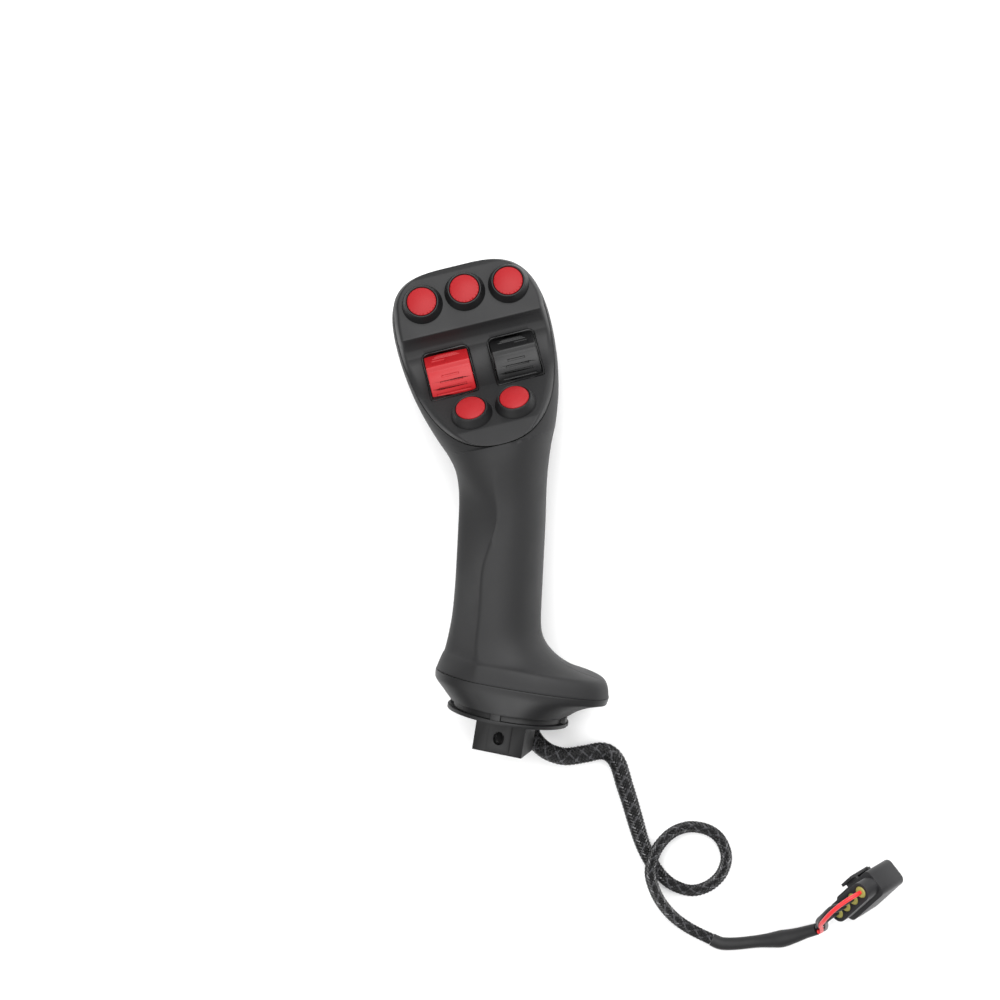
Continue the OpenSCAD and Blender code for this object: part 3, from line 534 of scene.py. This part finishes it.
def plate_depth(u, h):
    """Depth of the face plate at a place well inside its seam."""
    side = 1 if u > middle(h) else -1
    return plate_spot(h, (u - middle(h)) / (seam_half(h, side) * PLATE_SHARE))[2]


# ---------------------------------------------------------------- rollers

# Place across, radius and width of a roller, and how far its axle lies under the valley's chord
ROLLER_X, ROLLER_R, ROLLER_W, ROLLER_DROP = 15.6, 13.0, 20.4, 8.5
SPOT = VALLEY_MID - OUT * ROLLER_DROP


def at_roller(side):
    """Frame of a roller: X along its axle, Y up the valley and Z out of it."""
    return (HEAD @ Matrix.Translation(Vector((side * ROLLER_X, SPOT.x, SPOT.y)) * MM)
            @ Matrix.Rotation(-VALLEY, 4, "X"))


def bar(name, size, place, turn=0.0):
    """A block for cutting, in millimetres, turned about X round the origin."""
    bpy.ops.object.select_all(action="DESELECT")
    bpy.ops.mesh.primitive_cube_add(size=1)
    block = bpy.context.object
    block.name = name
    block.data.transform(Matrix.Rotation(math.radians(turn), 4, "X")
                         @ Matrix.Translation(Vector(place) * MM)
                         @ Matrix.Diagonal(Vector(size) * MM).to_4x4())
    return block


def disc(name, radius, width, vertices=96):
    """A cylinder along X, in millimetres."""
    bpy.ops.object.select_all(action="DESELECT")
    bpy.ops.mesh.primitive_cylinder_add(vertices=vertices, radius=radius * MM, depth=width * MM,
                                        rotation=(0, math.pi / 2, 0))
    cylinder = bpy.context.object
    cylinder.name = name
    place_mesh(cylinder)
    return cylinder


# The drum is cut flat below; its thumb face runs from the lip, LIP_TURN round from the top, to
# FLAT_TURN, and lies FLAT_R from the axle with its normal FLAT_LEAN round
LIP_R, LIP_TURN, FLAT_TURN, DRUM_CUT = 14.5, 8.8, 51.7, 6.0
FLAT_R, FLAT_LEAN = 12.64, 38.2
# Grooves: width and depth on the drum and on the thumb face, height of the blocks that cut them
DRUM_RIB_W, DRUM_RIB_D = 0.9, 0.45
FLAT_RIB_W, FLAT_RIB_D = 0.5, 0.3
CUTTER_T = 2.0
POCKET_L, POCKET_W = 6.2, 3.2
AXLE_BORE = 3.2


def on_circle(radius, turn):
    """A point round the axle, by its turn from straight out toward the upper end."""
    return radius * math.sin(math.radians(turn)), radius * math.cos(math.radians(turn))


def arc(a, b, steps):
    """Turns from a to b in even steps."""
    return [a + (b - a) * k / steps for k in range(steps + 1)]


def roller_cutters(side):
    """Four grooves over the drum, three fine ones and a pocket in the thumb face, and the bore."""
    drum_z = ROLLER_R + CUTTER_T / 2 - DRUM_RIB_D
    flat_z = FLAT_R + CUTTER_T / 2 - FLAT_RIB_D
    cutters = []
    for k in range(4):
        size = (8 + 2.6 * k, DRUM_RIB_W, CUTTER_T)
        cutters.append(bar("rib", size, (0, 0, drum_z), 12.5 + 12 * k))
    for k in range(3):
        size = (9 + 2 * k, FLAT_RIB_W, CUTTER_T)
        cutters.append(bar("rib", size, (0, 2.2 - 1.2 * k, flat_z), -FLAT_LEAN))
    cutters.append(bar("pocket", (POCKET_L, POCKET_W, CUTTER_T), (side * 4, -3.6, flat_z), -FLAT_LEAN))
    cutters.append(disc("bore", AXLE_BORE / 2, ROLLER_W + 2, 32))
    return cutters


def roller(side, node, name, finish):
    """A drum with a flat thumb face that ends in an undercut lip, with grooves over both."""
    low = math.degrees(math.acos(-DRUM_CUT / ROLLER_R))
    turns = arc(FLAT_TURN, low, 18) + arc(-low, 1.0, 36)
    outline = [on_circle(ROLLER_R, a) for a in turns] + [on_circle(LIP_R, LIP_TURN)]
    n = len(outline)
    points = [(x, v, z) for x in (-ROLLER_W / 2, ROLLER_W / 2) for v, z in outline]
    faces = [tuple(range(n)), tuple(reversed(range(n, 2 * n)))]
    faces += [(k, n + k, n + (k + 1) % n, (k + 1) % n) for k in range(n)]
    piece = mesh_piece(name, points, faces)
    face_outward(piece)
    soften(piece, 0.5, 30, 3)
    cut(piece, roller_cutters(side))
    soften(piece, 0.12, 50, 1)
    piece.data.transform(at_roller(side))
    smooth_by(piece, 35)
    settle(piece, finish, body_of(node), node)


roller(-1, "roller_left", "red_roller", roller_red)
roller(1, "roller_right", "black_roller", roller_black)


# ---------------------------------------------------------------- face plate

# A roller's opening: half width, heights of its ends and its corner radii there; the rim in it, with
# its gap; the plate's gap to the drum; and the spacing of points along an outline
OPENING_HALF, OPENING_LOW, OPENING_TOP = 11.5, 29.6, 51.7
OPENING_LOW_R, OPENING_TOP_R = 1.4, 3.2
RIM_W, RIM_GAP = 0.85, 0.15
ROLLER_GAP = 0.35
LOOP_STEP = 1.2


def rounded_loop(half, low, top, low_r, top_r, steps=6):
    """A rectangle with round corners, as (across, up) points from the lower right corner round."""
    corners = [(half - low_r, low + low_r, low_r, -90), (half - top_r, top - top_r, top_r, 0),
               (-half + top_r, top - top_r, top_r, 90), (-half + low_r, low + low_r, low_r, 180)]
    loop = []
    for x, h, r, start in corners:
        turns = [math.radians(start + 90 * k / steps) for k in range(steps + 1)]
        loop += [(x + r * math.cos(a), h + r * math.sin(a)) for a in turns]
    filled = []
    for i, a in enumerate(loop):
        b = loop[(i + 1) % len(loop)]
        n = max(1, round(math.dist(a, b) / LOOP_STEP))
        filled += [(a[0] + (b[0] - a[0]) * k / n, a[1] + (b[1] - a[1]) * k / n) for k in range(n)]
    return filled


def prism(name, loop, low, top):
    """A straight block over a loop of the head's face, for cutting."""
    n = len(loop)
    points = [(x, h, z) for z in (low, top) for x, h in loop]
    faces = [tuple(reversed(range(n))), tuple(range(n, 2 * n))]
    faces += [(k, (k + 1) % n, n + (k + 1) % n, n + k) for k in range(n)]
    return mesh_piece(name, points, faces)


def opening(side, inset):
    """Outline of a roller's opening, or of its rim an inset further in."""
    loop = rounded_loop(OPENING_HALF - inset, OPENING_LOW + inset, OPENING_TOP - inset,
                        OPENING_LOW_R - inset * 0.6, OPENING_TOP_R - inset * 0.8)
    return [(side * ROLLER_X + x, h) for x, h in loop]


def panel(a, b, share):
    """Place and lean of a button on the flat between two points of the profile."""
    lean = math.atan2(a[1] - b[1], b[0] - a[0])
    h = a[0] + (b[0] - a[0]) * share
    return h, a[1] - (h - a[0]) * math.tan(lean), lean


# Each button: its place across, its panel and how far up from its row it lies
LOWER, UPPER = panel(CHIN_EDGE, CREST, 0.41), panel(RIDGE, BROW, 0.568)
PITCH = 20.5
BUTTONS = [(-PITCH / 2, LOWER, 0), (PITCH / 2, LOWER, 0),
           (-PITCH, UPPER, 0), (0, UPPER, 1.3), (PITCH, UPPER, 0)]
BARREL_R = 8.1
# Rows of the plate lie close on both sides of each bend of its profile, which keeps the bend crisp
BENDS = [CHIN_EDGE[0], CREST[0], CREASE[0], 54, 57, RIDGE[0], BROW[0]]
BEND_ROWS, BEND_CLEAR = (-0.45, -0.15, 0.15, 0.45), 0.7
LOW_ROWS, TOP_ROWS, HALF_COLUMNS = 46, 44, 36


def button_frame(k):
    """Frame of a button: Z out of its panel, Y up it."""
    u, (h, d, lean), rise = BUTTONS[k]
    return (Matrix.Translation(Vector((u, h, d)) * MM) @ Matrix.Rotation(-lean, 4, "X")
            @ Matrix.Translation(Vector((0, rise, 0)) * MM))


def plate_heights():
    """Heights of the plate's rows, closer toward the chin and the top."""
    heights = [CHIN_H + (WIDE_H - CHIN_H) * (1 - math.cos(math.pi / 2 * k / LOW_ROWS))
               for k in range(LOW_ROWS)]
    heights += [WIDE_H + (HEAD_H - 0.05 - WIDE_H) * math.sin(math.pi / 2 * k / TOP_ROWS)
                for k in range(TOP_ROWS + 1)]
    heights = [h for h in heights if min(abs(h - b) for b in BENDS) > BEND_CLEAR]
    return sorted(heights + [b + k for b in BENDS for k in BEND_ROWS])


def face_plate():
    """The moulded face plate: one surface over the whole profile, given its wall and then opened."""
    heights = plate_heights()
    shares = [math.sin(math.pi / 2 * k / HALF_COLUMNS) for k in range(-HALF_COLUMNS, HALF_COLUMNS + 1)]
    points = [plate_spot(h, s) for h in heights for s in shares]
    points += [plate_back(h, s) for h in heights for s in shares]
    m, rows = len(shares), len(heights)
    n = m * rows
    cells = [(i * m + k, i * m + k + 1, i * m + m + k + 1, i * m + m + k)
             for i in range(rows - 1) for k in range(m - 1)]
    faces = cells + [tuple(n + c for c in reversed(cell)) for cell in cells]
    rim = (list(range(m)) + [i * m + m - 1 for i in range(1, rows)]
           + [n - 1 - k for k in range(1, m)] + [i * m for i in range(rows - 2, 0, -1)])
    faces += [(b, a, n + a, n + b) for a, b in zip(rim, rim[1:] + rim[:1])]
    plate = mesh_piece("front_plate", points, faces)
    cutters = []
    for k in range(len(BUTTONS)):
        bpy.ops.object.select_all(action="DESELECT")
        bpy.ops.mesh.primitive_cylinder_add(vertices=48, radius=BARREL_R * MM, depth=16 * MM)
        hole = bpy.context.object
        place_mesh(hole, button_frame(k))
        cutters.append(hole)
    for side in (-1, 1):
        cutters.append(prism("window", opening(side, 0), -30, 20))
        drum = disc("drum", ROLLER_R + ROLLER_GAP, ROLLER_W + 1)
        drum.data.transform(HEAD.inverted() @ at_roller(side))
        cutters.append(drum)
    cut(plate, cutters)
    soften(plate, 0.22, 42)
    plate.data.transform(HEAD)
    smooth_by(plate, 35)
    settle(plate, plate_abs, BODY, "face_plate")


# Section of a rim: height over the plate, and way in from its outer side
RIM_SECTION = [(-3, 0), (0.15, 0), (0.5, 0.25), (0.5, 0.6), (0.15, RIM_W), (-3, RIM_W)]


def roller_rim(side, name):
    """A thin raised rim that frames a roller: it follows the plate and has a rounded top.

    Its inner outline has a few points fewer than its outer one, so the section winds a little round
    the loop and closes a row early.
    """
    outside, inside = opening(side, RIM_GAP), opening(side, RIM_GAP + RIM_W)
    n = len(outside)
    points = []
    for lift, inset in RIM_SECTION:
        for (a, h), (b, k) in zip(outside, inside):
            t = inset / RIM_W
            u, v = a + (b - a) * t, h + (k - h) * t
            points.append((u, v, plate_depth(u, v) + lift))
    rows = len(points) // n
    faces = [(i * n + k, i * n + (k + 1) % n, (i + 1) % rows * n + (k + 1) % n, (i + 1) % rows * n + k)
             for i in range(rows) for k in range(n)]
    rim = mesh_piece(name, points, faces)
    face_outward(rim)
    rim.data.transform(HEAD)
    smooth_by(rim, 50)
    settle(rim, rim_black)


face_plate()
roller_rim(-1, "left_rim")
roller_rim(1, "right_rim")


# ---------------------------------------------------------------- caps and guards

# Height that the crown gains at its middle, the radius it fades out at, and the level it starts from
CROWN, CROWN_R, CROWN_FROM = 0.75, 6.5, 4.3


def crowned_cap(k):
    """A cap with its top raised to a fuller crown than the turned solid has."""
    node = "cap_%d" % (k + 1)
    piece = merged_copy(node, "crowned_cap_%d" % (k + 1))
    turn = HEAD @ button_frame(k)
    piece.data.transform(turn.inverted())
    for v in piece.data.vertices:
        off = v.co.xy.length / MM
        if v.co.z > CROWN_FROM * MM and off < CROWN_R:
            v.co.z += CROWN * MM * (1 - (off / CROWN_R) ** 2)
    piece.data.transform(turn)
    soften(piece, 0.15, 40)
    smooth_by(piece, 30)
    settle(piece, cap_red, body_of(node), node)


for k in range(len(BUTTONS)):
    crowned_cap(k)
    crisp("guard_%d" % (k + 1), "guard_ring_%d" % (k + 1), 0.12, 30)


# ---------------------------------------------------------------- cord

def blend_points(a, b, c, d, t):
    """A point of the smooth curve from b to c, with a and d beyond them."""
    return 0.5 * (2 * b + (c - a) * t + (2 * a - 5 * b + 4 * c - d) * t * t
                  + (3 * b - a - 3 * c + d) * t ** 3)


def curve_points(route, steps):
    """A smooth curve through 4-vectors of place and radius, in millimetres from the lever's axis."""
    last = len(route) - 1
    points = [Vector(p) for p in route]
    line = [blend_points(points[max(i - 1, 0)], points[i], points[i + 1], points[min(i + 2, last)],
                         k / steps)
            for i in range(last) for k in range(steps)]
    return [(AXIS + p.xyz * MM, p.w * MM) for p in [*line, points[last]]]


def steps_of(line):
    """For each point of a line: its place, radius, side and upward directions, and the run so far."""
    steps, run = [], 0.0
    for i, (p, r) in enumerate(line):
        before, after = line[max(i - 1, 0)][0], line[min(i + 1, len(line) - 1)][0]
        way = (after - before).normalized()
        side = way.cross(UP_Z).normalized()
        run += (p - before).length
        steps.append((p, r, side, side.cross(way), run))
    return steps


def solid(name, points, faces, finish):
    """A smooth piece of the cord from points in metres."""
    data = bpy.data.meshes.new(name)
    data.from_pydata(points, [], faces)
    data.materials.append(finish)
    piece = link(name, data)
    face_outward(piece)
    smooth_by(piece, 50)
    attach(piece, BODY)
    return piece


def tube(name, line, sides, finish):
    """A smooth tube swept along the line."""
    turns = [2 * math.pi * k / sides for k in range(sides)]
    points = [p + r * (math.cos(a) * side + math.sin(a) * up)
              for p, r, side, up, run in steps_of(line) for a in turns]
    last = len(points) - sides
    faces = [(i + k, i + (k + 1) % sides, i + sides + (k + 1) % sides, i + sides + k)
             for i in range(0, last, sides) for k in range(sides)]
    faces += [tuple(reversed(range(sides))), tuple(range(last, last + sides))]
    return solid(name, points, faces, finish)


# Lines of the sleeve and of the heat shrink: place from the lever's axis, and radius
SLEEVE = [(8, 1, -17.5, 4.2), (8, -5, -17.8, 4.2), (10, -11.5, -19, 4.2), (16.5, -17, -21.5, 4.2),
          (25, -18.8, -24.5, 4.2), (33.5, -16.6, -27.5, 4.2), (41.5, -13.8, -30, 4.1),
          (46.5, -15, -31.2, 4.1), (50.5, -19.2, -31.8, 4.1), (54.5, -27.2, -31.8, 4.1),
          (59, -36, -31.8, 4), (63.3, -45, -32, 3.9), (68, -54.3, -32.3, 3.6),
          (73.4, -62, -32.6, 3.3), (79.2, -67.5, -33, 3), (86.1, -71, -33.2, 2.8),
          (94.4, -71.6, -33.2, 2.7), (101.5, -68.1, -33.2, 2.7), (106.3, -62.2, -33.2, 2.7),
          (108.1, -55.5, -33.2, 2.7), (107.2, -50, -33.2, 2.7), (103.3, -44.3, -33.2, 2.7),
          (97, -41.3, -33, 2.7), (88.6, -41.4, -31.6, 2.7), (81.8, -44.8, -29, 2.7),
          (77.2, -50.8, -26.8, 2.7), (74.8, -58, -25.8, 2.7), (74.6, -65.3, -25.8, 2.7),
          (77.2, -72.4, -27, 2.7), (82, -79.8, -29.6, 2.7), (89, -86, -32, 2.7),
          (97.5, -90, -33.2, 2.7), (107.6, -92.6, -33.2, 2.7)]
SHRINK = [(107.8, -92.65, -33.2, 3), (112.6, -93.5, -33.15, 3), (119.5, -92, -33, 2.9),
          (128.5, -88.9, -32.6, 2.9), (134.5, -86.8, -31.9, 3.4), (140, -84.6, -31, 4),
          (145.5, -81.6, -29.6, 3.4), (150.5, -78.4, -28, 2.9), (155.5, -75.3, -26.2, 2.7)]
# The braid: strands to each hand, length of one turn, a strand's width and half its thickness,
# how far its middle lies below the sleeve's radius, and how far it weaves up and down from there.
# A real sleeve has finer strands; these are as coarse as they need to be to show.
CARRIERS, LAY = 12, 20.0
STRAND_W, STRAND_UP = 0.9, 0.2
STRAND_DOWN, WEAVE = 0.28, 0.15
# Every so many strands get the lighter yarn colour, which is painted glint
PAINTED_GLINT_EVERY = 4
CORE_DOWN = 0.6


def strand(steps, hand, k):
    """Points of one strand, three to a step: over two and under two of the strands it crosses."""
    points = []
    for p, r, side, up, run in steps:
        turns = run / (LAY * MM)
        wave = hand * math.cos(math.pi / 2 * (2 * k + hand * 2 * CARRIERS * turns - 0.5))
        a = 2 * math.pi * (k / CARRIERS + hand * turns)
        half = STRAND_W / 2 * MM * math.hypot(1, 2 * math.pi * r / (LAY * MM)) / r
        base = r - (STRAND_DOWN - WEAVE * wave) * MM
        for b, out in ((a - half, -STRAND_UP), (a, STRAND_UP), (a + half, -STRAND_UP)):
            points.append(p + (base + out * MM) * (math.cos(b) * side + math.sin(b) * up))
    return points


def braid(name, line):
    """A woven sleeve: two crossing sets of strands, with painted glint, a lighter yarn colour, on every
    fourth strand.
    """
    points, faces = [], []
    steps = steps_of(line)
    for hand in (1, -1):
        for k in range(CARRIERS):
            first = len(points)
            points += strand(steps, hand, k)
            last = len(points) - 3
            faces += [(i + j, i + (j + 1) % 3, i + 3 + (j + 1) % 3, i + 3 + j)
                      for i in range(first, last, 3) for j in range(3)]
            faces += [(first, first + 2, first + 1), (last, last + 1, last + 2)]
    piece = solid(name, points, faces, yarn_dark)
    piece.data.materials.append(painted_glint_yarn)
    share = len(faces) // (2 * CARRIERS)
    for face in piece.data.polygons:
        face.material_index = face.index // share % PAINTED_GLINT_EVERY == 0
    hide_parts("braided_sleeve")
    return piece


# The plug's frame: its origin is in the middle of the wires' side, which faces +Z. It stands on the
# rounded corner of its nose, so its height follows from its turns and its half sizes.
PLUG_X, PLUG_Y = 168.5, -55.5
PLUG_TURN, PLUG_LEAN, PLUG_SPIN = (math.radians(a) for a in (211, 35, -157.5))
PLUG_L, PLUG_R, PLUG_HALF_W, PLUG_HALF_T = 24, 3, 11, 3.5
WIRE_PITCH = 6.4
TURNED = (Matrix.Rotation(PLUG_TURN, 4, "Z") @ Matrix.Rotation(PLUG_LEAN, 4, "Y")
          @ Matrix.Rotation(PLUG_SPIN, 4, "Z"))
RISE_X, RISE_Y = (abs((TURNED @ Vector(v)).z) for v in ((1, 0, 0), (0, 1, 0)))
PLUG_Z = (PLUG_L * math.cos(PLUG_LEAN) + PLUG_HALF_W * RISE_X + PLUG_HALF_T * RISE_Y
          + PLUG_R * math.hypot(RISE_X, RISE_Y) - AXIS_UP)
PLUG = Matrix.Translation((PLUG_X, PLUG_Y, PLUG_Z)) @ TURNED
# Wires: radius, way out from the bundle's middle, gap to the heat shrink, and each one's turn in the
# bundle and way to its seal, in the plug's frame
WIRE_R, BUNDLE_R, WIRE_GAP = 1.0, 1.63, 0.3
RED_WIRE = 3
BUNDLE_TURNS = [-45, 225, 135, 45]
WIRE_WAYS = [
    [(-22, -0.8, -1.2), (-16.5, -0.4, 3.4), (-12.6, 0, 5.8), (-10, 0, 4.9)],
    [(-22, 2, -1.1), (-16.5, 2.6, 3.2), (-10, 2.7, 5), (-6.2, 1.6, 6), (-3.7, 0.3, 4.8)],
    [(-22, 2, 2.3), (-16.5, 2.6, 6.2), (-10, 2.5, 8), (-3.5, 2.5, 8.2), (0.3, 1.4, 7.6), (2.8, 0.2, 5.2)],
    [(-22, -0.8, 2.4), (-16.5, 0.1, 6.9), (-10, 0.3, 9.7), (-3.5, 0.6, 10.4), (3, 0.6, 9.6), (7.8, 0.3, 7)]]


def wire(k):
    """One wire, from beside its fellows in the heat shrink, bent over into its own seal."""
    end, before = Vector(SHRINK[-1][:3]), Vector(SHRINK[-2][:3])
    way = (end - before).normalized()
    side = way.cross(UP_Z).normalized()
    a = math.radians(BUNDLE_TURNS[k])
    start = end + WIRE_GAP * way + BUNDLE_R * (math.cos(a) * side + math.sin(a) * side.cross(way))
    seat = (k - 1.5) * WIRE_PITCH
    near, seated = 3.6 if k == RED_WIRE else 2.4, 0.2
    route = [start, start + (3 if k < 2 else 2) * way]
    route += [PLUG @ Vector(w) for w in [*WIRE_WAYS[k], (seat, 0, near), (seat, 0, seated)]]
    name = "wire_%d" % (k + 1)
    piece = tube("lead_%d" % (k + 1), curve_points([(*p, WIRE_R) for p in route], steps=8), 16,
                 red_pvc if k == RED_WIRE else black_pvc)
    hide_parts(name)
    return piece


sleeve_line = curve_points(SLEEVE, steps=18)
sleeve = braid("braid", sleeve_line)
core_line = curve_points([(x, y, z, r - CORE_DOWN) for x, y, z, r in SLEEVE], steps=4)
core = tube("braid_core", core_line, 20, nylon)
shrink = tube("shrink_tube", curve_points(SHRINK, steps=6), 32, polyolefin)
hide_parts("heat_shrink")
leads = [wire(k) for k in range(4)]
steps_of(sleeve_line)[-1][4]


# ---------------------------------------------------------------- floor and background

FLOOR_DOWN = 0.3


def make_floor():
    """A sheet of bright white paper, just under the object."""
    bpy.ops.object.select_all(action="DESELECT")
    bpy.ops.mesh.primitive_plane_add(size=6, location=(0, 0, -FLOOR_DOWN * MM))
    floor = bpy.context.object
    floor.name = "floor"
    finish, tree = blank("pale_paper")
    set_surface(tree, add(tree, "ShaderNodeBsdfPrincipled",
                          {"Base Color": linear("#fafafa"), "Roughness": 0.9}))
    floor.data.materials.append(finish)


def make_world():
    """An even white room that fills in the shadows."""
    world = bpy.data.worlds.new("white_room")
    bpy.context.scene.world = world
    world.use_nodes = True
    sky = world.node_tree.nodes["Background"]
    sky.inputs["Color"].default_value = (1, 1, 1, 1)
    sky.inputs["Strength"].default_value = 0.4


make_floor()
make_world()
bpy.context.scene.view_settings.view_transform = "Standard"
